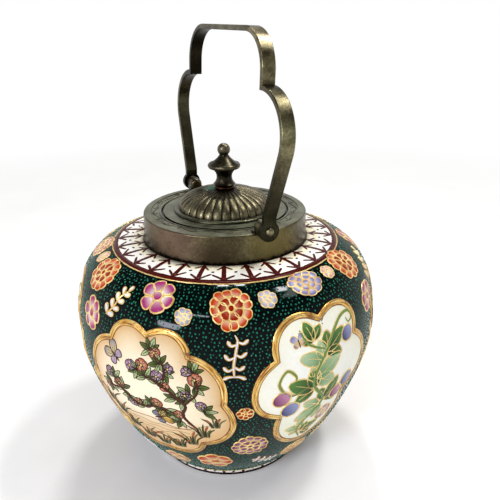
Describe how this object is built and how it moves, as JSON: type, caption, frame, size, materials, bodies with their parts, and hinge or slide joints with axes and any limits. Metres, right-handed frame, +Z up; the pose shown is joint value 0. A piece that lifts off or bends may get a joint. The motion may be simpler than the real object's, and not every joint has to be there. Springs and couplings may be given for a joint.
{
  "type": "biscuit jar",
  "caption": "Round porcelain biscuit jar with enamelled flowers and panels, a metal collar, a gadrooned lift-off lid with a turned finial, and a stepped swing handle.",
  "frame": {"origin": "middle of the foot, on the surface that the jar stands on", "axes": "+Z up through the finial; the handle swings about a line along X, and as it stands its grip leans slightly towards +Y"},
  "size_m": [0.1706, 0.1704, 0.2449],
  "materials": {
    "porcelain": "glazed, near-black green with raised enamels",
    "plaster": "matt",
    "collar_metal": "worn plate, dark patina",
    "handle_metal": "worn plate, dark patina",
    "lid_metal": "worn plate, dark patina",
    "bead_metal": "bare, tarnished",
    "fastener_metal": "dull"
  },
  "bodies": {
    "jar": {"jar_body": "porcelain", "plaster_bedding": "plaster", "collar": "collar_metal", "throat_ring": "collar_metal", "lug_left": "collar_metal", "lug_right": "collar_metal", "washer_left": "fastener_metal", "washer_right": "fastener_metal", "rivet_left": "handle_metal", "rivet_right": "handle_metal"},
    "handle": {"handle": "handle_metal"},
    "lid": {"lid_flange": "lid_metal", "lid_sleeve": "lid_metal", "lid_dome": "lid_metal", "finial_bead": "bead_metal", "finial_knob": "lid_metal", "finial_stud": "fastener_metal", "finial_washer": "fastener_metal", "finial_nut": "fastener_metal"}
  },
  "joints": [
    {"name": "handle_swing", "type": "hinge", "parent": "jar", "child": "handle", "pos_m": [0, 0, 0.1526], "axis": [1, 0, 0], "range_deg": [-107.5, 112.1]},
    {"name": "lid_lift", "type": "slide", "parent": "jar", "child": "lid", "axis": [0, 0, 1], "range_m": [0, 0.05]}
  ]
}
